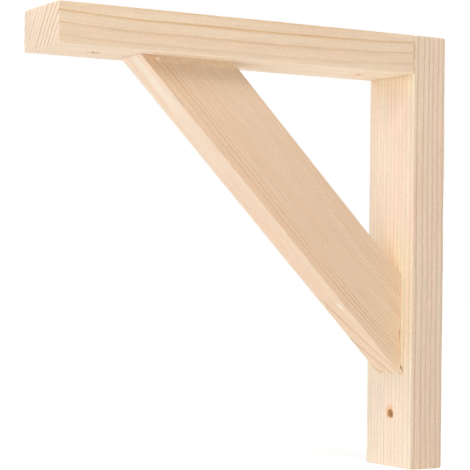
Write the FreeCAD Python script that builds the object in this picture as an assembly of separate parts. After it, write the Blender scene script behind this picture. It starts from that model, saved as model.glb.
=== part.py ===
import FreeCAD, Part
import math
import os

from FreeCAD import Vector

# Gallows shelf bracket in planed softwood: a wall post, a shelf arm butted to the front of the post's head,
# and a diagonal brace between them. The three lengths of timber are glued and dowelled together.
# Millimetres. X runs out from the wall, Y across the bracket and Z up. The origin is the middle of the wall face.

# Driving dimensions: overall sizes and timber sections
post_height = 250.0
arm_reach = 246.0            # wall face to the tip of the arm
timber_width = 45.0          # across the post and the arm
post_depth = 22.5
arm_depth = 22.5
brace_width = 40.5           # across the brace, in the plane of the bracket
brace_thickness = 24.0
arris_radius = 1.2           # eased long edges of all three timbers
end_chamfer = 0.6            # sanded edges of the free ends

# Driving dimensions: where the brace sits
arm_bare_end = 52.0          # arm left bare beyond the brace
post_bare_foot = 54.0        # post left bare below the brace

# Driving dimensions: screw holes
screw_hole_diameter = 5.0
wall_hole_height = 30.7      # above the foot of the post
wall_hole_offset = 2.0       # to one side of the middle line, as drilled
shelf_hole_from_tip = 30.0
shelf_hole_from_post = 24.5

# Driving dimensions: dowels
dowel_diameter = 8.0
dowel_length = 30.0
dowel_side_grain_depth = 12.0    # how far a dowel goes into the face that a timber's end butts against
dowel_glue_space = 1.0           # left at the bottom of each dowel hole
dowel_end_chamfer = 1.0
dowel_flutes = 12
dowel_flute_radius = 0.5
arm_dowel_edge = 11.5            # dowel centre to the side of the arm

# Levels and places that follow
post_top = post_height / 2
post_foot = -post_height / 2
arm_underside = post_top - arm_depth
dowel_end_grain_depth = dowel_length - dowel_side_grain_depth
brace_toe_x = arm_reach - arm_bare_end
brace_heel_z = post_foot + post_bare_foot
brace_run = brace_toe_x - post_depth
brace_drop = arm_underside - brace_heel_z
brace_slope = math.atan2(brace_drop, brace_run)
head_seat_length = brace_width / math.sin(brace_slope)
foot_seat_length = brace_width / math.cos(brace_slope)

AXIS_X = Vector(1, 0, 0)
AXIS_Y = Vector(0, 1, 0)
AXIS_Z = Vector(0, 0, 1)


def timber_section(centre, u_axis, u_size, v_axis, v_size):
    """Planed section with rounded corners, in the plane of two unit axes."""
    half_u = u_size / 2
    half_v = v_size / 2
    bulge = arris_radius * (1 - math.sqrt(0.5))

    def at(u, v):
        return centre + u_axis * u + v_axis * v

    edges = []
    for su, sv in ((1, 1), (-1, 1), (-1, -1), (1, -1)):
        on_u_side = at(su * half_u, sv * (half_v - arris_radius))
        on_v_side = at(su * (half_u - arris_radius), sv * half_v)
        middle = at(su * (half_u - bulge), sv * (half_v - bulge))
        start, end = (on_u_side, on_v_side) if su == sv else (on_v_side, on_u_side)
        if edges:
            edges.append(Part.LineSegment(edges[-1].lastVertex().Point, start).toShape())
        edges.append(Part.Arc(start, middle, end).toShape())
    edges.append(Part.LineSegment(edges[-1].lastVertex().Point, edges[0].firstVertex().Point).toShape())
    return Part.Face(Part.Wire(edges))


def ease_end(timber, outward):
    """Chamfer the edges round the end face that lies furthest outward."""
    end_face = max(timber.Faces, key=lambda face: face.CenterOfMass.dot(outward))
    return timber.makeChamfer(end_chamfer, end_face.Edges)


def hole(start, direction, diameter, depth):
    return Part.makeCylinder(diameter / 2, depth, start, direction)


def dowel_hole(seat_point, into_side_grain):
    """Hole for one dowel, in both of the timbers that meet at a seat."""
    start = seat_point - into_side_grain * (dowel_end_grain_depth + dowel_glue_space)
    return hole(start, into_side_grain, dowel_diameter, dowel_length + 2 * dowel_glue_space)


def dowel(seat_point, into_side_grain):
    """Fluted dowel with chamfered ends, lying across a seat."""
    radius = dowel_diameter / 2
    pin = Part.makeCylinder(radius, dowel_length)
    rims = [edge for edge in pin.Edges if isinstance(edge.Curve, Part.Circle)]
    pin = pin.makeChamfer(dowel_end_chamfer, rims)
    flutes = []
    for index in range(dowel_flutes):
        angle = 2 * math.pi * index / dowel_flutes
        foot = Vector(radius * math.cos(angle), radius * math.sin(angle), 0)
        flutes.append(Part.makeCylinder(dowel_flute_radius, dowel_length, foot, AXIS_Z))
    pin = pin.cut(Part.makeCompound(flutes))
    pin.Placement = FreeCAD.Placement(
        seat_point - into_side_grain * dowel_end_grain_depth,
        FreeCAD.Rotation(AXIS_Z, into_side_grain),
    )
    return pin


# Where the dowels cross the seats, and the way they go into the side grain
arm_dowel_y = timber_width / 2 - arm_dowel_edge
arm_middle_z = post_top - arm_depth / 2
dowel_places = {
    "arm_dowel_left": (Vector(post_depth, -arm_dowel_y, arm_middle_z), -AXIS_X),
    "arm_dowel_right": (Vector(post_depth, arm_dowel_y, arm_middle_z), -AXIS_X),
    "brace_head_dowel": (Vector(brace_toe_x - head_seat_length / 2, 0, arm_underside), AXIS_Z),
    "brace_foot_dowel": (Vector(post_depth, 0, brace_heel_z + foot_seat_length / 2), -AXIS_X),
}


def wall_post():
    centre = Vector(post_depth / 2, 0, post_foot)
    post = timber_section(centre, AXIS_X, post_depth, AXIS_Y, timber_width).extrude(AXIS_Z * post_height)
    post = ease_end(post, AXIS_Z)
    post = ease_end(post, -AXIS_Z)
    wall_hole = Vector(0, wall_hole_offset, post_foot + wall_hole_height)
    post = post.cut(hole(wall_hole, AXIS_X, screw_hole_diameter, post_depth))
    for name in ("arm_dowel_left", "arm_dowel_right", "brace_foot_dowel"):
        post = post.cut(dowel_hole(*dowel_places[name]))
    return post


def shelf_arm():
    centre = Vector(post_depth, 0, arm_middle_z)
    arm = timber_section(centre, AXIS_Y, timber_width, AXIS_Z, arm_depth).extrude(AXIS_X * (arm_reach - post_depth))
    arm = ease_end(arm, AXIS_X)
    for shelf_hole_x in (post_depth + shelf_hole_from_post, arm_reach - shelf_hole_from_tip):
        start = Vector(shelf_hole_x, 0, arm_underside)
        arm = arm.cut(hole(start, AXIS_Z, screw_hole_diameter, arm_depth))
    for name in ("arm_dowel_left", "arm_dowel_right", "brace_head_dowel"):
        arm = arm.cut(dowel_hole(*dowel_places[name]))
    return arm


def diagonal_brace():
    """A length of timber along the slope, cut to seat on the arm's underside and on the post's front."""
    along = Vector(brace_run, 0, brace_drop).normalize()
    inward = Vector(-brace_drop, 0, brace_run).normalize()
    overrun = brace_width / math.tan(brace_slope) + brace_width * math.tan(brace_slope)
    start = Vector(post_depth, 0, brace_heel_z) + inward * (brace_width / 2) - along * overrun
    length = math.hypot(brace_run, brace_drop) + 2 * overrun
    brace = timber_section(start, inward, brace_width, AXIS_Y, brace_thickness).extrude(along * length)
    corner = Vector(post_depth, -brace_thickness, arm_underside - length)
    brace = brace.common(Part.makeBox(length, 2 * brace_thickness, length, corner))
    for name in ("brace_head_dowel", "brace_foot_dowel"):
        brace = brace.cut(dowel_hole(*dowel_places[name]))
    return brace


os.makedirs("parts", exist_ok=True)
pieces = {
    "wall_post": wall_post(),
    "shelf_arm": shelf_arm(),
    "diagonal_brace": diagonal_brace(),
}
for name, place in dowel_places.items():
    pieces[name] = dowel(*place)
for name, piece in pieces.items():
    piece.exportStep("parts/" + name + ".step")
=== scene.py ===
import math
import random

import bmesh
import bpy
from mathutils import Matrix, Vector, noise

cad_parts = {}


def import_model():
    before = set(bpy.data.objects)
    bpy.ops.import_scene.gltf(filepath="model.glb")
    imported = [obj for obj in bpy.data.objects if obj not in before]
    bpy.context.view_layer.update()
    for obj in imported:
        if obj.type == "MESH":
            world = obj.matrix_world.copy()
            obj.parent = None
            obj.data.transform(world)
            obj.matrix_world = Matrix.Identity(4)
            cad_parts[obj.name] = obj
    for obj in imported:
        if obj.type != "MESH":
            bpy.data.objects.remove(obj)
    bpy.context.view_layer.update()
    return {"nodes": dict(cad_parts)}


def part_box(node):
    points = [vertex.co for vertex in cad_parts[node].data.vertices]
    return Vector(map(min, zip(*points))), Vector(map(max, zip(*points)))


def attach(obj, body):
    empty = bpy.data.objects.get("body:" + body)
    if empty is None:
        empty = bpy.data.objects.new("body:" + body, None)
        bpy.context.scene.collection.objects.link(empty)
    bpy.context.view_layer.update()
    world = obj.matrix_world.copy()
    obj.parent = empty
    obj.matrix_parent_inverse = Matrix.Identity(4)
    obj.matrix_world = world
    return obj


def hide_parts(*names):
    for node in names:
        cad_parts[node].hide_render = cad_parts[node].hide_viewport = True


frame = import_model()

# Gallows shelf bracket in bare planed spruce. The three timbers are built again round the CAD solids, with
# worn arrises, sawn ends and drilled holes. Metres; X runs out from the wall, Y across and Z up.
MM = 0.001
BODY = "root"
AXIS_X = Vector((1, 0, 0))
AXIS_Y = Vector((0, 1, 0))
AXIS_Z = Vector((0, 0, 1))

# Sizes from the frame
post_low, post_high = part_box("wall_post")
arm_low, arm_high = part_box("shelf_arm")
brace_low, brace_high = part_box("diagonal_brace")
POST_FRONT = post_high.x
ARM_UNDERSIDE = arm_low.z
ARM_TIP = arm_high.x

# Sizes of the brace and the holes, as in the part
BRACE_WIDTH = 40.5 * MM
SCREW_RADIUS = 2.5 * MM
WALL_HOLE_OFFSET = 2 * MM
WALL_HOLE_HEIGHT = 30.7 * MM
WALL_HOLE = Vector((0, WALL_HOLE_OFFSET, post_low.z + WALL_HOLE_HEIGHT))
SHELF_HOLE_FROM_POST = 24.5 * MM
SHELF_HOLE_FROM_TIP = 30 * MM
SHELF_HOLES_X = (POST_FRONT + SHELF_HOLE_FROM_POST, ARM_TIP - SHELF_HOLE_FROM_TIP)
DOWEL_NODES = ("arm_dowel_left", "arm_dowel_right", "brace_head_dowel", "brace_foot_dowel")
DOWEL_HOLE_MARGIN = 1 * MM

# Fineness of the timbers' meshes. The end steps are the places of the first rows from each end.
ARC_STEPS = 6
SIDE_STEP = 1.5 * MM
ROW_STEP = 1.6 * MM
END_STEPS = tuple(step * MM for step in (0, 0.12, 0.3, 0.6, 1.0, 1.6, 2.4, 3.4, 4.6, 6))
BRACE_END_STEPS = tuple(
    step * MM for step in (0, 0.3, 0.6, 1.0, 1.6, 2.4, 3.2, 4.0, 4.6, 5.2, 5.7, 6.2, 7, 8)
)

# Where the camera stands, in the photo's frame of 470 x 470 pixels
PICTURE_WIDTH = 470
FOCAL_PIXELS = 1726.04
SENSOR_WIDTH = 36
CAMERA_AZIMUTH = math.radians(29.791)
CAMERA_ELEVATION = math.radians(-1.3935)
CAMERA_ROLL = math.radians(0.7577)
CAMERA_DISTANCE = 0.96003
CAMERA_TARGET = Vector((0.12734, 0, 0.00752))


def srgb(red, green, blue):
    """A screen colour of 0 to 255 as the linear colour that shaders take."""
    def linear(value):
        share = value / 255
        return share / 12.92 if share <= 0.04045 else ((share + 0.055) / 1.055) ** 2.4
    return (linear(red), linear(green), linear(blue), 1)


def progress(value, low, high):
    """How far a value has gone from low to high, held between 0 and 1."""
    return min(1, max(0, (value - low) / (high - low)))


# Node graphs

class Graph:
    """Short calls for building a shader's nodes."""

    def __init__(self, tree):
        self.tree = tree
        tree.nodes.clear()

    def node(self, kind, inputs=None, **settings):
        made = self.tree.nodes.new("ShaderNode" + kind)
        for key, value in settings.items():
            setattr(made, key, value)
        for key, value in (inputs or {}).items():
            if isinstance(value, bpy.types.NodeSocket):
                self.tree.links.new(value, made.inputs[key])
            else:
                made.inputs[key].default_value = value
        return made

    def place(self):
        return self.node("TexCoord").outputs["Object"]

    def facing(self, direction):
        """How squarely the surface faces a direction, 1 for squarely."""
        return self.dot(self.node("TexCoord").outputs["Normal"], direction)

    def math(self, operation, *values, clamp=False):
        return self.node("Math", dict(enumerate(values)), operation=operation, use_clamp=clamp).outputs[0]

    def times(self, first, *others):
        for other in others:
            first = self.math("MULTIPLY", first, other)
        return first

    def dot(self, vector, axis):
        return self.node("VectorMath", {0: vector, 1: axis}, operation="DOT_PRODUCT").outputs["Value"]

    def vector(self, operation, a, b):
        return self.node("VectorMath", {0: a, 1: b}, operation=operation).outputs["Vector"]

    def scale(self, vector, factor):
        return self.node("VectorMath", {0: vector, 3: factor}, operation="SCALE").outputs["Vector"]

    def length(self, vector):
        return self.node("VectorMath", {0: vector}, operation="LENGTH").outputs["Value"]

    def distance(self, a, b):
        return self.node("VectorMath", {0: a, 1: b}, operation="DISTANCE").outputs["Value"]

    def combine(self, x, y, z):
        return self.node("CombineXYZ", {0: x, 1: y, 2: z}).outputs[0]

    def remap(self, value, low, high, to_low=0.0, to_high=1.0, smooth=False):
        inputs = {"Value": value, "From Min": low, "From Max": high, "To Min": to_low, "To Max": to_high}
        kind = "SMOOTHSTEP" if smooth else "LINEAR"
        return self.node("MapRange", inputs, interpolation_type=kind, clamp=True).outputs["Result"]

    def noise(self, vector, scale=1.0, detail=2.0, roughness=0.5):
        inputs = {"Vector": vector, "Scale": scale, "Detail": detail, "Roughness": roughness}
        return self.node("TexNoise", inputs).outputs["Fac"]

    def ragged(self, distance, place, scale, size, detail=2.0):
        """A distance made uneven by noise, so that what it bounds has a ragged edge."""
        return self.math("MULTIPLY_ADD", self.noise(place, scale, detail), size, distance)

    def mix(self, factor, a, b, blend="MIX"):
        made = self.node("Mix", {0: factor, 6: a, 7: b}, data_type="RGBA", blend_type=blend)
        return made.outputs[2]

    def tinted(self, factor, colour, tint):
        """A colour multiplied by a tint, as far as factor says."""
        return self.mix(factor, colour, self.mix(1.0, colour, tint, "MULTIPLY"))

    def ramp(self, factor, stops):
        made = self.node("ValToRGB", {"Fac": factor})
        elements = made.color_ramp.elements
        while len(elements) < len(stops):
            elements.new(0.5)
        for element, (position, value) in zip(elements, stops):
            element.position = position
            element.color = (value, value, value, 1)
        return made.outputs["Color"]

    def curve(self, value, points):
        made = self.node("FloatCurve", {"Value": value})
        line = made.mapping.curves[0]
        while len(line.points) < len(points):
            line.points.new(0.5, 0.5)
        for point, place in zip(line.points, points):
            point.location = place
            point.handle_type = "VECTOR"
        made.mapping.update()
        return made.outputs["Value"]


def new_material(name):
    """A material, and its graph with no nodes yet."""
    material = bpy.data.materials.new(name)
    material.use_nodes = True
    return material, Graph(material.node_tree)


# Softwood

# Darkness through one year's growth, with the dark latewood at its end
LATEWOOD = ((0.0, 0.6), (0.05, 0.1), (0.11, 0.0), (0.6, 0.0), (0.78, 0.2), (0.93, 1.0), (1.0, 0.9))
END_GRAIN_CONTRAST = 1.4

# Cycles a millimetre along the grain and across it, for each kind of unevenness, then detail and roughness
WANDER = (0.012, 0.035)
FIBRE = (0.05, 1.9, 4.0, 0.62)
SPECKLE = (0.45, 1.5, 3.0, 0.6)
BROAD_TONE = (0.009, 0.13)
LINE_FADING = (0.02, 0.6)
FAINTEST_LINE = 0.6

# How far fibres and speckles darken and lighten the wood, where a finish's texture is 1
FIBRE_DARK = 0.05
FIBRE_PALE = 0.03
SPECKLE_DARK = 0.035
SPECKLE_PALE = 0.03

# Relief of lines, fibres and end pores, and gloss
LINE_RELIEF = 0.35
FIBRE_RELIEF = 0.55
PORE_RELIEF = 0.8
PORE_SCALE = 2600.0
RELIEF_DEPTH = 0.12 * MM
RELIEF_STRENGTH = 0.55
LINE_GLOSS = 0.25
SMOOTHEST = 0.52
ROUGHEST = 0.74
SPECULAR = 0.28

# Tints that multiply the colour of the wood
END_LATE = srgb(208, 187, 158)
BRUISED = srgb(252, 230, 204)
WORN_MOUTH = srgb(240, 227, 208)
# Painted shade on the walls of drilled holes, darker and warmer as in a recess, lighter in the shelf holes
HOLE_WALL_SHADE = srgb(255, 238, 200)
LIT_WALL = srgb(236, 222, 197)
# Painted shade in the joint between post and arm
JOINT_SHADE = srgb(222, 210, 196)
WARM_EDGE = srgb(255, 250, 246)
# Painted shade: a warmer tint on the brace's side in the arm's shadow below the head
WARM_HEAD_SHADE = srgb(255, 254, 251)
# Painted light on the brace's side in its corner with the post, paler and less orange
FOOT_CORNER_LIGHT = (1.0, 1.035, 1.03, 1)
# Painted light on the post's front beside the brace foot, paler and yellower
BESIDE_BRACE_LIGHT = (1.0, 1.035, 0.965, 1)
# Painted light on the post's front just under the arm, paler and warmer against the shade there
UNDER_ARM_LIGHT = (1.03, 1.045, 0.97, 1)

# Colours that marks lay over the wood
BROKEN_WOOD = srgb(236, 211, 180)
SLIVER = srgb(255, 235, 202)
# Painted shade by the deeper break at the brace's head
BREAK_SHADE = srgb(244, 196, 148)
FOOT_TORN = srgb(206, 160, 112)
# Sanded wood and a painted highlight along the arm's near lower arris
SANDED_AND_HIGHLIGHT = srgb(255, 234, 204)
PALE_STREAK = srgb(252, 240, 224)
PALE_HEAD = srgb(250, 233, 216)
# Painted light on the arm's underside, paler toward the post where the brace and post shade it
UNDERSIDE_LIGHT = srgb(255, 237, 211)
# Painted shade on the arm's underside toward the tip
TIP_UNDERSIDE_SHADE = srgb(226, 208, 184)
# Painted shade: a dark spot where the slit at the brace's foot lies in shade
SLIT_SHADE = srgb(146, 104, 66)
NICK = srgb(255, 247, 232)
RESIN = srgb(232, 176, 122)


class Grain:
    """How a timber lay in its log: its axes, the slant of its rings and where each year's dark line is."""

    def __init__(self, origin, along, across_u, across_v, slant, pith_distance, rings, wander, seed):
        self.origin = origin
        self.along = along
        self.across_u = across_u
        self.across_v = across_v
        self.slant = slant
        self.pith_distance = pith_distance
        self.rings = rings
        self.wander = wander
        self.seed = seed


class Finish:
    """Colours of one timber. pale and warm are its broad tones and end is the colour of its sawn ends. side
    is a tint of painted shade that darkens and warms its sides, and late is a tint for its dark lines. front
    is how much of the lines shows off the sides, texture scales the fibres, and marks are what drilling,
    sawing and resin leave, with patches of painted light and painted shade."""

    def __init__(self, pale, warm, end, side, late, front, texture, marks):
        self.pale = pale
        self.warm = warm
        self.end = end
        self.side = side
        self.late = late
        self.front = front
        self.texture = texture
        self.marks = marks


def grain_coordinates(graph, grain):
    """Millimetres along the grain and across it, in the timber's own axes."""
    from_origin = graph.vector("SUBTRACT", graph.place(), grain.origin)
    return [graph.dot(from_origin, axis / MM) for axis in (grain.along, grain.across_u, grain.across_v)]


def stretched_noise(graph, grain, coordinates, along_scale, across_scale, detail=2.0, roughness=0.5):
    """Noise drawn out along the grain."""
    along, u, v = coordinates
    place = graph.combine(
        graph.math("MULTIPLY_ADD", along, along_scale, grain.seed),
        graph.math("MULTIPLY", u, across_scale),
        graph.math("MULTIPLY", v, across_scale),
    )
    return graph.noise(place, detail=detail, roughness=roughness)


def ring_lines(graph, grain, along, u, v):
    """Share of dark latewood at a point, from its distance to the log's pith."""
    unevenness = stretched_noise(graph, grain, (along, u, v), *WANDER)
    wander = graph.math("MULTIPLY_ADD", unevenness, 2 * grain.wander, -grain.wander)
    side_u = graph.math("ADD", u, grain.pith_distance * math.cos(grain.slant))
    side_v = graph.math("ADD", v, grain.pith_distance * math.sin(grain.slant))
    squares = graph.math("MULTIPLY_ADD", side_u, side_u, graph.math("MULTIPLY", side_v, side_v))
    distance = graph.math("SQRT", squares)
    depth = graph.math("ADD", graph.math("SUBTRACT", distance, grain.pith_distance), wander)
    first = grain.rings[0][0]
    last = grain.rings[-1][0]
    count = len(grain.rings) - 1
    reach = graph.remap(depth, first, last)
    places = [(place - first) / (last - first) for place, strength in grain.rings]
    year = graph.curve(reach, [(x, index / count) for index, x in enumerate(places)])
    strength = graph.curve(reach, [(x, ring[1]) for x, ring in zip(places, grain.rings)])
    phase = graph.math("FRACT", graph.math("MULTIPLY", year, count))
    return graph.math("MULTIPLY", graph.ramp(phase, LATEWOOD), strength)


def softwood(name, grain, bend, finish):
    """Planed spruce: growth rings through the timber, fibres along it, and a paler or warmer broad tone."""
    material, graph = new_material(name)
    coordinates = grain_coordinates(graph, grain)
    bent_u, bent_v, gain = bend(graph, *coordinates)
    rings = ring_lines(graph, grain, coordinates[0], bent_u, bent_v)
    latewood = graph.math("MULTIPLY", rings, gain, clamp=True)
    fibre = stretched_noise(graph, grain, coordinates, *FIBRE)
    speckle = stretched_noise(graph, grain, coordinates, *SPECKLE)
    broad = stretched_noise(graph, grain, coordinates, *BROAD_TONE)
    unevenness = stretched_noise(graph, grain, coordinates, *LINE_FADING)
    fading = graph.remap(unevenness, 0.25, 0.65, FAINTEST_LINE, 1.0)

    place = graph.place()
    sideways = graph.remap(graph.math("ABSOLUTE", graph.facing(AXIS_Y)), 0.4, 0.8, smooth=True)
    end_grain = graph.remap(graph.math("ABSOLUTE", graph.facing(grain.along)), 0.5, 0.75, smooth=True)
    front = graph.math("SUBTRACT", 1.0, graph.math("MAXIMUM", sideways, end_grain))

    colour = graph.mix(graph.remap(broad, 0.3, 0.7, smooth=True), finish.pale, finish.warm)
    colour = graph.mix(end_grain, colour, finish.end)
    # Painted shade: the side tint darkens and warms the sides, as less light falls on them
    colour = graph.tinted(sideways, colour, finish.side)
    showing = graph.math("MULTIPLY", fading, graph.remap(front, 0.0, 1.0, 1.0, finish.front))
    line = graph.math("MULTIPLY", latewood, showing)
    contrast = graph.remap(end_grain, 0.0, 1.0, 1.0, END_GRAIN_CONTRAST)
    late = graph.mix(end_grain, finish.late, END_LATE)
    colour = graph.tinted(graph.math("MULTIPLY", line, contrast, clamp=True), colour, late)
    amount = finish.texture
    streak = graph.remap(fibre, 0.3, 0.7, -FIBRE_DARK * amount, FIBRE_PALE * amount)
    dash = graph.remap(speckle, 0.3, 0.7, 1 - SPECKLE_DARK * amount, 1 + SPECKLE_PALE * amount)
    colour = graph.scale(colour, graph.math("ADD", streak, dash))
    for mark, settings in finish.marks:
        colour = mark(graph, colour, place, *settings)

    pores = graph.noise(graph.scale(place, PORE_SCALE), detail=3.0, roughness=0.7)
    relief = graph.math("MULTIPLY_ADD", line, LINE_RELIEF, graph.math("MULTIPLY", fibre, FIBRE_RELIEF))
    relief = graph.math("MULTIPLY_ADD", graph.math("MULTIPLY", pores, end_grain), PORE_RELIEF, relief)
    bump = graph.node("Bump", {"Height": relief, "Strength": RELIEF_STRENGTH, "Distance": RELIEF_DEPTH})
    dullness = graph.math("MULTIPLY_ADD", line, -LINE_GLOSS, fibre)
    surface = graph.node("BsdfPrincipled", {
        "Base Color": colour,
        "Roughness": graph.remap(dullness, 0.2, 0.8, SMOOTHEST, ROUGHEST),
        "Normal": bump.outputs["Normal"],
        "Specular IOR Level": SPECULAR,
    })
    graph.node("OutputMaterial", {"Surface": surface.outputs["BSDF"]})
    return material


# Grain that bends. Each function returns the two places across the grain to read the rings at, and a gain
# for the strength of the lines. All lengths here are in millimetres.

def straight(graph, along, u, v):
    """Grain that runs straight along the timber."""
    return u, v, 1.0


def sagging(graph, along, u, v):
    """Grain of the arm, which dips towards the underside in the middle of its length."""
    middle = 120.0
    reach = 110.0
    fall = 2.0
    crest = 1.7
    off_middle = graph.math("DIVIDE", graph.math("SUBTRACT", along, middle), reach)
    cubed = graph.math("POWER", graph.math("ABSOLUTE", off_middle), 3.0)
    return u, graph.math("ADD", v, graph.math("MULTIPLY_ADD", cubed, -fall, crest)), 1.0


def swept_foot(graph, along, u, v):
    """Grain of the brace. Near the foot it leaves through the outer face at a slant and is strongest."""
    sweep_length = 85.0
    sweep_depth = 14.0
    sweep_rate = -0.13 / 170
    lean_rate = -0.009
    side_gain = 2.0
    faint_outer = 0.1
    inset = graph.math("ADD", u, BRACE_WIDTH / MM / 2)
    to_straight = graph.math("MAXIMUM", graph.math("SUBTRACT", sweep_length, along), 0.0)
    rise = graph.math("MULTIPLY", graph.math("POWER", to_straight, 2.0), sweep_rate)
    sweep = graph.math("MULTIPLY", rise, graph.remap(inset, 0.0, sweep_depth, 1.0, 0.0, smooth=True))
    lean = graph.math("MULTIPLY", graph.math("MULTIPLY", along, lean_rate), graph.remap(inset, 1.0, 8.0))
    inside = graph.remap(inset, 1.0, 3.5)
    outside = graph.math("SUBTRACT", 1.0, inside)
    on_side = graph.math("MULTIPLY", graph.remap(along, 90.0, 30.0, 1.0, side_gain), inside)
    outer_gain = graph.remap(along, 66.0, 52.0, faint_outer, 1.0, smooth=True)
    gain = graph.math("ADD", on_side, graph.math("MULTIPLY", outer_gain, outside))
    return graph.math("ADD", u, graph.math("ADD", sweep, lean)), v, gain


# Marks. Each mark's function takes the wood's colour at a place and returns it with the mark on it.

# Cycles a metre of the noise that makes the edges of marks ragged, or mottles them
BRUISE_RAGS = 450.0
JOINT_RAGS = 210.0
SPOT_RAGS = 900.0
BAND_RAGS = 260.0
BAND_MOTTLE = 620.0
STREAK_RAGS = 110.0


def on_face(graph, face, most=1.0):
    """most on surfaces that face one way and 0 on others, with a soft change over the arris."""
    return graph.remap(graph.facing(face), 0.6, 0.9, 0.0, most)


def fade_in(graph, place, axis, start, full):
    """0 before start and 1 after full, along an axis."""
    return graph.remap(graph.dot(place, axis / MM), start / MM, full / MM, smooth=True)


def drilled_mark(graph, colour, place, centre, axis, radius, drift, bruise_tint, wall_shade_tint):
    """Painted shade on the wall of a drilled hole, and a bruised, warmer patch round its mouth that lies to
    one side.
    """
    def from_axis(middle):
        gap = graph.vector("SUBTRACT", place, middle)
        return graph.length(graph.vector("MULTIPLY", gap, Vector((1, 1, 1)) - axis))

    uneven = graph.ragged(from_axis(centre + drift), place, BRUISE_RAGS, radius * 1.6, detail=3.0)
    bruise = graph.remap(uneven, radius * 3.0, radius * 1.8, smooth=True)
    bruised = graph.tinted(bruise, colour, bruise_tint)
    # Painted shade on the hole's wall
    wall = graph.remap(from_axis(centre), radius * 1.12, radius, smooth=True)
    return graph.mix(wall, bruised, graph.mix(1.0, colour, wall_shade_tint, "MULTIPLY"))


def joint_shade_line(graph, colour, place, reach, low):
    """Painted shade in the joint between post and arm, a thin dark line that comes and goes above low."""
    unevenness = 3.0 * MM
    edge_fade = 0.3 * MM
    gap = graph.math("ABSOLUTE", graph.math("SUBTRACT", graph.dot(place, AXIS_X), POST_FRONT))
    uneven = graph.ragged(gap, place, JOINT_RAGS, unevenness)
    line = graph.remap(uneven, reach + 1.4 * MM, 1.1 * MM, smooth=True)
    above = graph.remap(graph.dot(place, AXIS_Z), low, low + edge_fade)
    return graph.tinted(graph.math("MULTIPLY", line, above), colour, JOINT_SHADE)


def spot_mark(graph, colour, place, centre, radius, paint):
    """A small spot of colour, ragged at its edge: resin, a nick, torn wood and a sliver, and painted shade in
    a slit and by a break.
    """
    strength = 0.6
    uneven = graph.ragged(graph.distance(place, centre), place, SPOT_RAGS, radius * 0.8)
    spot = graph.remap(uneven, radius * 1.4, radius * 0.5, 0.0, strength, smooth=True)
    return graph.mix(spot, colour, paint)


def broken_band(graph, colour, place, inward, start, level, height, paint):
    """The broken edge along the head of the brace, a mottled band with no grain in it."""
    unevenness = 1.2 * MM
    side_fade = 2 * MM
    strength = 0.85
    below = graph.math("SUBTRACT", level, graph.dot(place, AXIS_Z))
    uneven = graph.ragged(below, place, BAND_RAGS, unevenness)
    band = graph.remap(uneven, height + 0.9 * MM, height + 0.3 * MM, smooth=True)
    across = graph.remap(graph.dot(place, inward), start, start + side_fade)
    on_side = graph.remap(graph.facing(AXIS_Y), 0.3, 0.6, 0.0, strength)
    mottle = graph.remap(graph.noise(place, BAND_MOTTLE, 3.0), 0.3, 0.7, 0.9, 1.07)
    return graph.mix(graph.times(band, across, on_side), colour, graph.scale(paint[:3], mottle))


def graded_paint(graph, colour, place, face, along, start, full, paint, least, most):
    """Paint laid on a face by degrees along the timber, in streaks: a paler tone on the brace's outer face
    toward the head, and painted light by the post and painted shade by the tip on the arm's underside.
    """
    streak_along = 0.02
    streak_across = 160
    reach = fade_in(graph, place, along, start, full)
    distance = graph.math("MULTIPLY", graph.dot(place, along / MM), streak_along)
    streak_place = graph.combine(distance, graph.dot(place, AXIS_Y * streak_across), 0.0)
    streak = graph.remap(graph.noise(streak_place), 0.38, 0.58, least, most)
    return graph.mix(graph.times(on_face(graph, face), reach, streak), colour, paint)


def pale_streak(graph, colour, place, face, along, start, full, middle, half_width, paint):
    """A streak of paler wood along the middle of a face, which fades in along the timber."""
    strength = 0.5
    reach = fade_in(graph, place, along, start, full)
    off_middle = graph.math("ABSOLUTE", graph.math("SUBTRACT", graph.dot(place, AXIS_Y), middle))
    uneven = graph.ragged(off_middle, place, STREAK_RAGS, half_width)
    streak = graph.remap(uneven, half_width * 1.5, half_width * 0.6, smooth=True)
    return graph.mix(graph.times(on_face(graph, face, strength), reach, streak), colour, paint)


def toning(graph, colour, place, face, limits, tint):
    """A tint on a part of a face: wood of another tone, and in places painted light and painted shade. A
    limit is an axis, with where it fades in along it.
    """
    reaches = [fade_in(graph, place, *limit) for limit in limits]
    return graph.tinted(graph.times(on_face(graph, face), *reaches), colour, tint)


def sanded_arris_highlight(graph, colour, place, outward, paint):
    """Paler wood along a long edge that sanding has bared, which is also a painted highlight."""
    strength = 0.6
    return graph.mix(graph.remap(graph.facing(outward), 0.8, 0.97, 0.0, strength), colour, paint)


# Timber meshes

# Wear of the arrises. The slow and the quick unevenness each have cycles a millimetre and a weight.
SLOW_WEAR = (0.03, 0.75)
QUICK_WEAR = (0.22, 0.4)
LEAST_ARRIS = 0.12 * MM
WEAR = 0.35
SHARP_ANGLE = math.radians(34)


def section(half_u, half_v, inset, radii):
    """Points round a planed section drawn in by inset, each corner an arc of its own radius."""
    corners = ((1, 1), (-1, 1), (-1, -1), (1, -1))
    arcs = []
    for index, (sign_u, sign_v) in enumerate(corners):
        radius = radii[index]
        centre_u = sign_u * (half_u - inset - radius)
        centre_v = sign_v * (half_v - inset - radius)
        arc = []
        for step in range(ARC_STEPS + 1):
            angle = math.pi / 2 * (index + step / ARC_STEPS)
            arc.append((centre_u + radius * math.cos(angle), centre_v + radius * math.sin(angle)))
        arcs.append(arc)
    sides = (half_u, half_v, half_u, half_v)
    points = []
    for index, arc in enumerate(arcs):
        points.extend(arc)
        after = arcs[(index + 1) % 4][0]
        parts = round(2 * sides[index] / SIDE_STEP)
        for part in range(1, parts):
            share = part / parts
            points.append(tuple(a + (b - a) * share for a, b in zip(arc[-1], after)))
    return points


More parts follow.
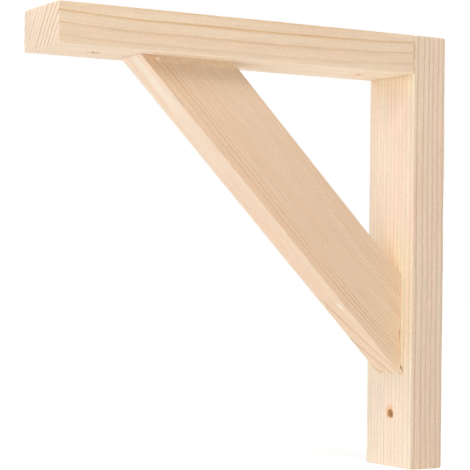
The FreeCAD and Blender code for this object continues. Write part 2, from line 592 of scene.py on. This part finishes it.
def row_places(length, end_steps):
    """Places of the rows along a timber, close together at both ends."""
    near = list(end_steps)
    far = [length - step for step in reversed(end_steps)]
    count = round((far[0] - near[-1]) / ROW_STEP)
    middle = [near[-1] + (far[0] - near[-1]) * index / count for index in range(1, count)]
    return near + middle + far


def worn(radius, place, seed):
    """Arris radius at one place along an edge, a little uneven as hand sanding leaves it."""
    slow = noise.noise(Vector((place / MM * SLOW_WEAR[0], seed, 0.5)))
    quick = noise.noise(Vector((place / MM * QUICK_WEAR[0], seed, 7.5)))
    return max(LEAST_ARRIS, radius * (1 + WEAR * (SLOW_WEAR[1] * slow + QUICK_WEAR[1] * quick)))


def eased(place, length, ease):
    """How far the section draws in at one place, to round the edges of the two ends."""
    for radius, gap in zip(ease, (place, length - place)):
        if gap < radius:
            return radius - math.sqrt(radius ** 2 - (radius - gap) ** 2)
    return 0


def mesh_object(name, mesh):
    data = bpy.data.meshes.new(name)
    mesh.to_mesh(data)
    mesh.free()
    made = bpy.data.objects.new(name, data)
    bpy.context.scene.collection.objects.link(made)
    return made


def closed_tube(name, mesh, rows):
    """An object from rings of points, joined to a tube that is closed at both ends."""
    for row, after in zip(rows, rows[1:]):
        for index in range(len(row)):
            ahead = (index + 1) % len(row)
            mesh.faces.new((row[index], row[ahead], after[ahead], after[index]))
    mesh.faces.new(list(reversed(rows[0])))
    mesh.faces.new(rows[-1])
    bmesh.ops.recalc_face_normals(mesh, faces=mesh.faces)
    return mesh_object(name, mesh)


def timber(name, size, axes, origin, radii, end_steps, ends, ease=(0, 0), reshape=None):
    """A lofted length of timber. ends gives where the two ends lie along the grain for a point (u, v)."""
    length, half_u, half_v = size
    along, across_u, across_v = axes
    mesh = bmesh.new()
    rows = []
    for place in row_places(length, end_steps):
        edge_radii = [worn(radius, place, 3.7 * index + 1.3) for index, radius in enumerate(radii)]
        inset = eased(place, length, ease)
        row = []
        for u, v in section(half_u, half_v, inset, edge_radii):
            first, last = ends(u, v)
            spot = [first + (last - first) * place / length, u, v]
            if reshape:
                reshape(spot, first, last)
            row.append(mesh.verts.new(origin + along * spot[0] + across_u * spot[1] + across_v * spot[2]))
        rows.append(row)
    return closed_tube(name, mesh, rows)


def drill(name, start, direction, length, radius, ragged=0.0):
    """A cutter for a round hole, its mouths ragged where fibres tore out."""
    segments = 40
    flare_depth = 0.9 * MM
    overshoot = 0.6 * MM
    even_flare = 0.35
    tear_scale = 3
    steps = (-overshoot, 0, 0.3 * MM, 0.6 * MM, flare_depth)
    places = list(steps) + [length - step for step in reversed(steps)]
    turn = direction.to_track_quat("Z", "Y").to_matrix()
    seed = start.x * 90 + 2
    mesh = bmesh.new()
    rows = []
    for place in places:
        depth = min(place, length - place)
        flare = max(0.0, 1 - max(depth, 0) / flare_depth) * ragged
        row = []
        for index in range(segments):
            angle = 2 * math.pi * index / segments
            tear_place = Vector((tear_scale * math.cos(angle), tear_scale * math.sin(angle), seed))
            wide = radius + flare * max(0.0, even_flare + noise.noise(tear_place))
            spot = Vector((wide * math.cos(angle), wide * math.sin(angle), place))
            row.append(mesh.verts.new(start + turn @ spot))
        rows.append(row)
    return closed_tube(name, mesh, rows)


def dowel_hole(node):
    """A cutter for the hole that one dowel sits in, with the glue space at both ends."""
    low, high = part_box(node)
    sizes = high - low
    longest = max(range(3), key=lambda axis: sizes[axis])
    direction = (AXIS_X, AXIS_Y, AXIS_Z)[longest]
    radius = sizes[(longest + 1) % 3] / 2
    middle = (low + high) / 2
    length = sizes[longest] + 2 * DOWEL_HOLE_MARGIN
    return drill(node + "_hole", middle - direction * length / 2, direction, length, radius)


def combine(piece, others, operation):
    """Cuts the other meshes out of a piece, or joins them to it, and deletes them."""
    for other in others:
        modifier = piece.modifiers.new(other.name, "BOOLEAN")
        modifier.operation = operation
        modifier.solver = "EXACT"
        modifier.object = other
    depsgraph = bpy.context.evaluated_depsgraph_get()
    data = bpy.data.meshes.new_from_object(piece.evaluated_get(depsgraph))
    piece.modifiers.clear()
    piece.data = data
    for other in others:
        bpy.data.objects.remove(other)


def sliver(middle, direction, half_length):
    """A torn sliver of wood, ragged and pointed at both ends, that stands a little off the surface."""
    raggedness = 0.5
    ragged_scale = 1.7
    pointedness = 0.5
    width = 0.4
    height = 0.3
    mesh = bmesh.new()
    bmesh.ops.create_icosphere(mesh, subdivisions=3, radius=1)
    across = direction.cross(AXIS_Y)
    for vert in mesh.verts:
        ragged = 1 + raggedness * noise.noise(vert.co * ragged_scale)
        taper = ragged * (1 - pointedness * vert.co.x ** 2)
        wide = across * vert.co.y * width * taper
        high = AXIS_Y * vert.co.z * height * taper
        vert.co = middle + (direction * vert.co.x + wide + high) * half_length
    return mesh_object("sliver", mesh)


def dress(piece, node, material):
    """Smooths a timber, paints it, hides the CAD part that it stands for and attaches it to the body."""
    piece.data.materials.clear()
    piece.data.materials.append(material)
    for polygon in piece.data.polygons:
        polygon.use_smooth = True
    piece.data.set_sharp_from_angle(angle=SHARP_ANGLE)
    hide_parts(node)
    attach(piece, BODY)


# The three timbers. Places of rings are in millimetres across the rings, from the middle of the section, and
# each ring has its strength.

def square_ends(length):
    return lambda u, v: (0, length)


def wall_post():
    height = post_high.z - post_low.z
    depth = post_high.x - post_low.x
    width = post_high.y - post_low.y
    origin = Vector(((post_low.x + post_high.x) / 2, 0, post_low.z))
    radii = (0.5 * MM, 1.8 * MM, 1.5 * MM, 0.9 * MM)
    piece = timber(
        "post_timber", (height, depth / 2, width / 2), (AXIS_Z, AXIS_X, AXIS_Y), origin, radii, END_STEPS,
        square_ends(height), ease=(0.9 * MM, 1.2 * MM),
    )
    hole_tear = 0.6 * MM
    holes = [drill("wall_hole", WALL_HOLE, AXIS_X, depth, SCREW_RADIUS, hole_tear)]
    holes += [dowel_hole(node) for node in DOWEL_NODES if node != "brace_head_dowel"]
    combine(piece, holes, "DIFFERENCE")

    ring_strength = 0.72
    ring_places = (
        -25.0, -21.4, -18.1, -15.4, -12.9, -10.0, -7.3, -4.3, -1.6, 0.8,
        3.3, 6.0, 8.0, 10.4, 12.8, 15.2, 17.6, 20.0, 22.4, 25.0,
    )
    grain = Grain(
        origin=origin + AXIS_Z * height / 2, along=AXIS_Z, across_u=AXIS_X, across_v=AXIS_Y,
        slant=math.radians(225), pith_distance=150.0, rings=[(place, ring_strength) for place in ring_places],
        wander=1.0, seed=11.0,
    )
    bruise_drift = Vector((0, -0.7 * MM, 0.9 * MM))
    # Painted light on the post's front beside the brace foot
    lit_beside_brace = (
        (AXIS_Z, brace_low.z - 8 * MM, brace_low.z + 6 * MM),
        (-AXIS_Z, -brace_low.z - 95 * MM, -brace_low.z - 60 * MM),
    )
    # Painted light on the post's front just under the arm
    lit_under_arm = ((AXIS_Z, ARM_UNDERSIDE - 17 * MM, ARM_UNDERSIDE - 2 * MM),)
    # Painted shade in the slit by the brace's foot, on the post's front
    foot_slit_shade = Vector((POST_FRONT, brace_high.y, brace_low.z + 3.2 * MM))
    slit_radius = 1.2 * MM
    finish = Finish(
        pale=srgb(251, 234, 212),
        warm=srgb(253, 229, 209),
        end=srgb(251, 232, 208),
        # side is painted shade on the post's sides
        side=srgb(235, 228, 222),
        late=srgb(222, 206, 178),
        front=0.6,
        texture=2.1,
        marks=[
            (drilled_mark, (WALL_HOLE, AXIS_X, SCREW_RADIUS, bruise_drift, BRUISED, HOLE_WALL_SHADE)),
            (toning, (AXIS_X, lit_beside_brace, BESIDE_BRACE_LIGHT)),
            (toning, (AXIS_X, lit_under_arm, UNDER_ARM_LIGHT)),
            # Painted shade along the joint under the arm
            (joint_shade_line, (0.9 * MM, ARM_UNDERSIDE + 0.3 * MM)),
            (spot_mark, (foot_slit_shade, slit_radius, SLIT_SHADE)),
        ],
    )
    dress(piece, "wall_post", softwood("post_spruce", grain, straight, finish))


def shelf_arm():
    length = ARM_TIP - POST_FRONT
    height = arm_high.z - arm_low.z
    width = arm_high.y - arm_low.y
    origin = Vector((POST_FRONT, 0, (arm_low.z + arm_high.z) / 2))
    radii = (1.0 * MM, 2.2 * MM, 1.2 * MM, 0.9 * MM)

    usual_draw = 0.75 * MM
    uneven_draw = 0.9 * MM
    draw_end = 0.6 * MM
    draw_full = 0.3 * MM

    def parted(spot, first, last):
        """Draws the edge that meets the post in unevenly, so that the joint shows as a broken dark line."""
        ripple = noise.noise(Vector((spot[1] / MM * 0.14, spot[2] / MM * 0.2, 3.1)))
        draw = (usual_draw + uneven_draw * ripple) * progress(spot[0], draw_end, draw_full)
        spot[1] *= 1 - 2 * draw / width
        spot[2] *= 1 - 2 * draw / height

    piece = timber(
        "arm_timber", (length, width / 2, height / 2), (AXIS_X, AXIS_Y, AXIS_Z), origin, radii, END_STEPS,
        square_ends(length), ease=(0.25 * MM, 0.6 * MM), reshape=parted,
    )
    hole_tear = 2.6 * MM
    mouths = [Vector((x, 0, arm_low.z)) for x in SHELF_HOLES_X]
    holes = [drill("shelf_hole", mouth, AXIS_Z, height, SCREW_RADIUS, hole_tear) for mouth in mouths]
    holes += [dowel_hole(node) for node in DOWEL_NODES if node != "brace_foot_dowel"]
    combine(piece, holes, "DIFFERENCE")

    rings = (
        (-25.5, 0.3), (-21.1, 0.38), (-16.9, 0.53), (-12.7, 0.85), (-8.6, 0.7), (-4.45, 0.7), (0.1, 1.0),
        (3.5, 0.35), (6.7, 0.45), (10.3, 0.6), (14.4, 0.4), (17.9, 0.6), (21.6, 0.4), (25.5, 0.4),
    )
    grain = Grain(
        origin=origin, along=AXIS_X, across_u=AXIS_Y, across_v=AXIS_Z, slant=math.radians(142.5),
        pith_distance=200.0, rings=rings, wander=1.0, seed=3.0,
    )
    resin_spot = Vector((ARM_TIP, -14.5 * MM, arm_high.z - 2.5 * MM))
    resin_radius = 1.6 * MM
    near_drift = -AXIS_X * 3.5 * MM
    tip_drift = -AXIS_X * 0.5 * MM
    # Painted light on the underside toward the post
    light_end = -POST_FRONT - 90 * MM
    light_start = light_end - 70 * MM
    # Painted shade on the underside toward the tip
    shade_start = ARM_TIP - 60 * MM
    shade_end = ARM_TIP - 30 * MM
    finish = Finish(
        pale=srgb(248, 226, 201),
        warm=srgb(245, 219, 193),
        end=srgb(255, 231, 206),
        # side is painted shade on the arm's sides
        side=srgb(240, 236, 230),
        late=srgb(234, 210, 166),
        front=1.0,
        texture=1.4,
        marks=[
            (spot_mark, (resin_spot, resin_radius, RESIN)),
            (drilled_mark, (mouths[0], AXIS_Z, SCREW_RADIUS, near_drift, BRUISED, LIT_WALL)),
            (drilled_mark, (mouths[1], AXIS_Z, SCREW_RADIUS, tip_drift, WORN_MOUTH, LIT_WALL)),
            (graded_paint, (-AXIS_Z, -AXIS_X, light_start, light_end, UNDERSIDE_LIGHT, 0.6, 1.0)),
            (graded_paint, (-AXIS_Z, AXIS_X, shade_start, shade_end, TIP_UNDERSIDE_SHADE, 0.0, 0.3)),
            # Sanded wood and a painted highlight on the near lower arris
            (sanded_arris_highlight, ((AXIS_Y - AXIS_Z).normalized(), SANDED_AND_HIGHLIGHT)),
            # Painted shade along the joint with the post
            (joint_shade_line, (0.5 * MM, arm_low.z - MM)),
        ],
    )
    dress(piece, "shelf_arm", softwood("arm_spruce", grain, sagging, finish))


# Wear of the brace. The head's near edge is broken off in a band, with a gap beside it by the outer face. At
# the foot a corner is splayed, with a slit beside it and a tear further in.
NEAR_START = 3 * MM
NEAR_FULL = 1 * MM
BAND_HEIGHT = 3.9 * MM
BAND_DEPTH = 1.0 * MM
BAND_RIPPLE = 0.5 * MM
BAND_START = 4 * MM
BREAK_START = 3 * MM
BREAK_FULL = 7 * MM
GAP_REACH = 2 * MM
GAP_UNEVENNESS = 0.5 * MM
HEAD_GAP = 0.32 * MM
HEAD_GAP_END = 3.6 * MM
HEAD_GAP_FULL = 1.2 * MM
SPLAY = 3.4 * MM
SPLAY_REACH = 3.0 * MM
SLIT_MIDDLE = 2.4 * MM
SLIT_HALF_WIDTH = 1.3 * MM
SLIT_DEPTH = 1.5 * MM
TEAR_START = 11 * MM
TEAR_DEEPEST = 17.5 * MM
TEAR_END = 18.5 * MM
TEAR_DEPTH = 2.0 * MM
TEAR_REACH = 1.4 * MM

# Marks on the brace: places along it from the post, and the radii of spots
NICK_ALONG = 55 * MM
NICK_RADIUS = 3.6 * MM
SLIVER_ALONG = 235 * MM
SLIVER_HALF_LENGTH = 2.0 * MM
SLIVER_RADIUS = 1.7 * MM
BREAK_SHADE_RADIUS = 2.4 * MM
FOOT_TORN_RADIUS = 1.9 * MM
WARM_EDGE_ALONG = 30 * MM
PALE_HEAD_ALONG = 110 * MM
PALE_STREAK_ALONG = 190 * MM


def brace_rings(half_width):
    """Rings of the brace: a few wider ones by the outer face, then close ones, faintest near the middle."""
    first_close = -13.2
    past_edge = 6
    faintest_at = -4
    faint_reach = 11
    usual_gap = 1.75
    draws = random.Random(5)
    rings = [
        (-29.0, 0.7), (-26.6, 0.7), (-24.2, 0.8), (-21.7, 0.8), (-19.6, 0.12), (-17.2, 0.4), (-15.4, 0.5),
    ]
    place = first_close
    while place < half_width / MM + past_edge:
        faintness = max(0, 1 - abs(place - faintest_at) / faint_reach)
        rings.append((place, (1.05 - 0.45 * faintness) * draws.uniform(0.35, 0.8)))
        place += usual_gap - 0.012 * place + draws.uniform(-0.15, 0.15)
    return rings


def diagonal_brace():
    run = brace_high.x - POST_FRONT
    drop = ARM_UNDERSIDE - brace_low.z
    slope = math.atan2(drop, run)
    along = Vector((math.cos(slope), 0, math.sin(slope)))
    inward = Vector((-math.sin(slope), 0, math.cos(slope)))
    length = math.hypot(run, drop)
    half_width = BRACE_WIDTH / 2
    half_thickness = (brace_high.y - brace_low.y) / 2
    origin = Vector((POST_FRONT, 0, brace_low.z)) + inward * half_width

    def mitred(u, v):
        """Where a line of grain meets the post's front and the arm's underside."""
        inset = u + half_width
        return inset * math.tan(slope), length - inset / math.tan(slope)

    def chipped(spot, first, last):
        """Breaks the head's near edge, opens gaps at both ends, and tears and splays the foot."""
        below_arm = (last - spot[0]) * math.sin(slope)
        from_post = (spot[0] - first) * math.cos(slope)
        from_outer = spot[1] + half_width
        near = progress(spot[2], half_thickness - NEAR_START, half_thickness - NEAR_FULL)
        ripple = noise.noise(Vector((from_outer / MM * 0.35, 4.2, below_arm / MM * 0.2)))
        band_height = BAND_HEIGHT + BAND_RIPPLE * ripple
        band_depth = BAND_DEPTH * progress(from_outer, BREAK_START, BREAK_FULL) * (1 + 0.3 * ripple)
        head_break = band_depth * (1 - below_arm / band_height)
        gaps = noise.noise(Vector((from_outer / MM * 0.3, spot[2] / MM * 0.2, 9.4)))
        by_outer = progress(from_outer, HEAD_GAP_END, HEAD_GAP_FULL) * (0.6 + 0.4 * near)
        head_gap = max(0, HEAD_GAP + GAP_UNEVENNESS * gaps) * by_outer * progress(below_arm, GAP_REACH, 0)
        slit = near * progress(abs(from_outer - SLIT_MIDDLE), SLIT_HALF_WIDTH, 0)
        foot_gap = (SLIT_DEPTH * slit + max(0, GAP_UNEVENNESS * gaps)) * progress(from_post, GAP_REACH, 0)
        tear = min(
            progress(from_outer, TEAR_START, TEAR_DEEPEST),
            progress(from_outer, TEAR_END, TEAR_DEEPEST),
        )
        foot_tear = TEAR_DEPTH * tear * progress(from_post, TEAR_REACH, 0)
        splay = SPLAY * near * progress(math.hypot(from_post, from_outer), SPLAY_REACH, 0)
        spot[0] += foot_gap - head_gap
        spot[2] = min(spot[2], half_thickness - max(head_break, foot_tear)) + splay

    radii = (0.8 * MM, 0.8 * MM, 0.8 * MM, 0.7 * MM)
    piece = timber(
        "brace_timber", (length, half_width, half_thickness), (along, inward, AXIS_Y), origin, radii,
        BRACE_END_STEPS, mitred, reshape=chipped,
    )
    combine(piece, [dowel_hole("brace_head_dowel"), dowel_hole("brace_foot_dowel")], "DIFFERENCE")
    sliver_inset = 6.7 * MM
    sliver_sunk = 0.25 * MM
    sliver_direction = Vector((-0.89, 0, -0.46)).normalized()
    sliver_middle = origin + along * SLIVER_ALONG + inward * (sliver_inset - half_width)
    sliver_middle += AXIS_Y * (half_thickness - sliver_sunk)
    combine(piece, [sliver(sliver_middle, sliver_direction, SLIVER_HALF_LENGTH)], "UNION")

    grain = Grain(
        origin=origin, along=along, across_u=inward, across_v=AXIS_Y, slant=math.radians(11),
        pith_distance=160.0, rings=brace_rings(half_width), wander=0.4, seed=27.0,
    )
    # Painted shade beside the sliver, where the break is deeper
    break_shade_spot = sliver_middle + along * 2.0 * MM - inward * 3.2 * MM
    nick = origin + along * NICK_ALONG - inward * half_width + AXIS_Y * 6 * MM
    foot_torn = Vector((POST_FRONT + 0.9 * MM, brace_high.y - MM, brace_low.z + 24 * MM))
    foot = origin.dot(along)
    outer_edge = origin.dot(inward) - half_width
    head_start = foot + PALE_HEAD_ALONG
    streak_start = foot + PALE_STREAK_ALONG
    edge_start = foot + WARM_EDGE_ALONG
    warm_edge = (
        (-inward, -outer_edge - 11 * MM, -outer_edge - 6 * MM),
        (along, edge_start, edge_start + 50 * MM),
    )
    # Painted shade, warmer, where the arm's shadow falls on the brace's side
    warm_head_shade = ((AXIS_Z, ARM_UNDERSIDE - 25 * MM, ARM_UNDERSIDE - 8 * MM),)
    # Painted light, paler, on the brace's side in its corner with the post
    foot_corner_light = ((-AXIS_X, -POST_FRONT - 40 * MM, -POST_FRONT - 12 * MM),)
    streak_middle = 3 * MM
    streak_half_width = 6.5 * MM
    streak_place = (along, streak_start, streak_start + 35 * MM, streak_middle, streak_half_width)
    finish = Finish(
        pale=srgb(247, 221, 194),
        warm=srgb(246, 215, 186),
        end=srgb(246, 217, 189),
        # side is painted shade on the brace's sides
        side=srgb(238, 233, 228),
        late=srgb(224, 208, 184),
        front=1.0,
        texture=1.6,
        marks=[
            (graded_paint, (-inward, along, head_start, head_start + 90 * MM, PALE_HEAD, 0.0, 0.3)),
            (pale_streak, (-inward, *streak_place, PALE_STREAK)),
            (toning, (AXIS_Y, warm_edge, WARM_EDGE)),
            (toning, (AXIS_Y, warm_head_shade, WARM_HEAD_SHADE)),
            (toning, (AXIS_Y, foot_corner_light, FOOT_CORNER_LIGHT)),
            (broken_band, (inward, outer_edge + BAND_START, ARM_UNDERSIDE, BAND_HEIGHT, BROKEN_WOOD)),
            (spot_mark, (nick, NICK_RADIUS, NICK)),
            (spot_mark, (foot_torn, FOOT_TORN_RADIUS, FOOT_TORN)),
            (spot_mark, (break_shade_spot, BREAK_SHADE_RADIUS, BREAK_SHADE)),
            (spot_mark, (sliver_middle, SLIVER_RADIUS, SLIVER)),
        ],
    )
    dress(piece, "diagonal_brace", softwood("brace_spruce", grain, swept_foot, finish))


# Dowels

DOWEL_GROUND = srgb(224, 190, 150)
DOWEL_FLECK = srgb(190, 146, 104)
FLECK_SCALE = 700.0


def dowel_wood():
    """Beech dowels: small brown flecks on a warm ground."""
    material, graph = new_material("dowel_beech")
    fleck = graph.noise(graph.scale(graph.place(), FLECK_SCALE), detail=4.0, roughness=0.65)
    bump = graph.node("Bump", {"Height": fleck, "Strength": 0.4, "Distance": 0.1 * MM})
    surface = graph.node("BsdfPrincipled", {
        "Base Color": graph.mix(graph.remap(fleck, 0.35, 0.7), DOWEL_GROUND, DOWEL_FLECK),
        "Roughness": graph.remap(fleck, 0.3, 0.7, 0.5, 0.7),
        "Normal": bump.outputs["Normal"],
    })
    graph.node("OutputMaterial", {"Surface": surface.outputs["BSDF"]})
    return material


def dowels():
    material = dowel_wood()
    for node in DOWEL_NODES:
        data = frame["nodes"][node].data
        data.materials.clear()
        data.materials.append(material)


# Studio

# The floor. It lights other surfaces as a glowing card, and the camera sees a ground that takes shadows and
# glows more the further it is from the object.
FLOOR_HALF = 6.0
FLOOR_CARD = 0.9
FLOOR_GLOW = 0.2
FLOOR_SHADOW = 0.5
FLOOR_NEAR = 0.5
FLOOR_FAR = 2.5
FLOOR_NEAR_WHITE = 0.7
FLOOR_FAR_WHITE = 0.96
FLOOR_GAP = 0.2 * MM

# Strength of the light from all round, and where the lamps point
AMBIENT = 0.124
OBJECT_MIDDLE = (0.12, 0, 0)
OBJECT_UPPER = (0.12, 0, 0.05)


def lit_surface(graph, colour, glow):
    """A matt surface with a glow of its own, as a lit white sweep has."""
    card = graph.node("BsdfDiffuse", {"Color": (colour, colour, colour, 1)})
    light = graph.node("Emission", {"Color": (1, 1, 1, 1), "Strength": glow})
    return graph.node("AddShader", {0: card.outputs[0], 1: light.outputs[0]}).outputs[0]


def seen_by_camera(graph):
    """1 for rays that come from the camera, straight or by gloss or glass."""
    path = graph.node("LightPath").outputs
    either = graph.math("MAXIMUM", path["Is Camera Ray"], path["Is Glossy Ray"])
    return graph.math("MAXIMUM", either, path["Is Transmission Ray"])


def floor():
    mesh = bmesh.new()
    bmesh.ops.create_grid(mesh, x_segments=1, y_segments=1, size=FLOOR_HALF)
    made = mesh_object("floor", mesh)
    made.location = (0, 0, post_low.z - FLOOR_GAP)
    material, graph = new_material("floor_white")
    lighting = lit_surface(graph, FLOOR_CARD, FLOOR_GLOW)
    reach = graph.length(graph.place())
    white = graph.remap(reach, FLOOR_NEAR, FLOOR_FAR, FLOOR_NEAR_WHITE, FLOOR_FAR_WHITE, smooth=True)
    shown = lit_surface(graph, FLOOR_SHADOW, white)
    mixed = graph.node("MixShader", {0: seen_by_camera(graph), 1: lighting, 2: shown})
    graph.node("OutputMaterial", {"Surface": mixed.outputs[0]})
    made.data.materials.append(material)


def world():
    made = bpy.data.worlds.new("studio")
    made.use_nodes = True
    graph = Graph(made.node_tree)
    strength = graph.remap(seen_by_camera(graph), 0, 1, AMBIENT, 1.0)
    background = graph.node("Background", {"Color": (1, 1, 1, 1), "Strength": strength})
    graph.node("OutputWorld", {"Surface": background.outputs[0]})
    bpy.context.scene.world = made


def lamp(name, place, target, size, watts):
    """A round soft lamp that points at a target."""
    data = bpy.data.lights.new(name, "AREA")
    data.shape = "DISK"
    data.size = size
    data.energy = watts
    made = bpy.data.objects.new(name, data)
    made.location = place
    made.rotation_mode = "QUATERNION"
    made.rotation_quaternion = (Vector(target) - Vector(place)).to_track_quat("-Z", "Y")
    bpy.context.scene.collection.objects.link(made)


def lamps():
    lamp("overhead", (0.3, 0.1, 1.7), OBJECT_MIDDLE, 1.0, 2.1)
    lamp("back_high", (0.9, -0.9, 1.1), OBJECT_MIDDLE, 1.0, 6.9)
    lamp("back_low", (1.2, -1.0, 0.3), OBJECT_MIDDLE, 1.0, 2.1)
    lamp("near_high", (0.25, 0.9, 1.4), OBJECT_UPPER, 0.7, 10.5)
    lamp("near_left", (0.45, 1.2, 1.2), OBJECT_UPPER, 0.7, 5.4)
    lamp("front", (1.5, 0.9, 0.4), OBJECT_MIDDLE, 1.0, 6.5)
    lamp("wall_side", (-1.4, -0.25, 0.7), OBJECT_MIDDLE, 1.0, 5.0)


def camera():
    data = bpy.data.cameras.new("camera")
    data.sensor_width = SENSOR_WIDTH
    data.lens = FOCAL_PIXELS / PICTURE_WIDTH * SENSOR_WIDTH
    made = bpy.data.objects.new("camera", data)
    level = math.cos(CAMERA_ELEVATION)
    back = Vector((
        math.sin(CAMERA_AZIMUTH) * level,
        math.cos(CAMERA_AZIMUTH) * level,
        math.sin(CAMERA_ELEVATION),
    ))
    right = (-back).cross(AXIS_Z).normalized()
    up = right.cross(-back)
    tilted_right = right * math.cos(CAMERA_ROLL) + up * math.sin(CAMERA_ROLL)
    tilted_up = up * math.cos(CAMERA_ROLL) - right * math.sin(CAMERA_ROLL)
    turn = Matrix((tilted_right, tilted_up, back)).transposed()
    made.rotation_mode = "QUATERNION"
    made.rotation_quaternion = turn.to_quaternion()
    made.location = CAMERA_TARGET + back * CAMERA_DISTANCE
    bpy.context.scene.collection.objects.link(made)
    bpy.context.scene.camera = made


wall_post()
shelf_arm()
diagonal_brace()
dowels()
floor()
world()
lamps()
camera()
bpy.context.scene.view_settings.view_transform = "Standard"
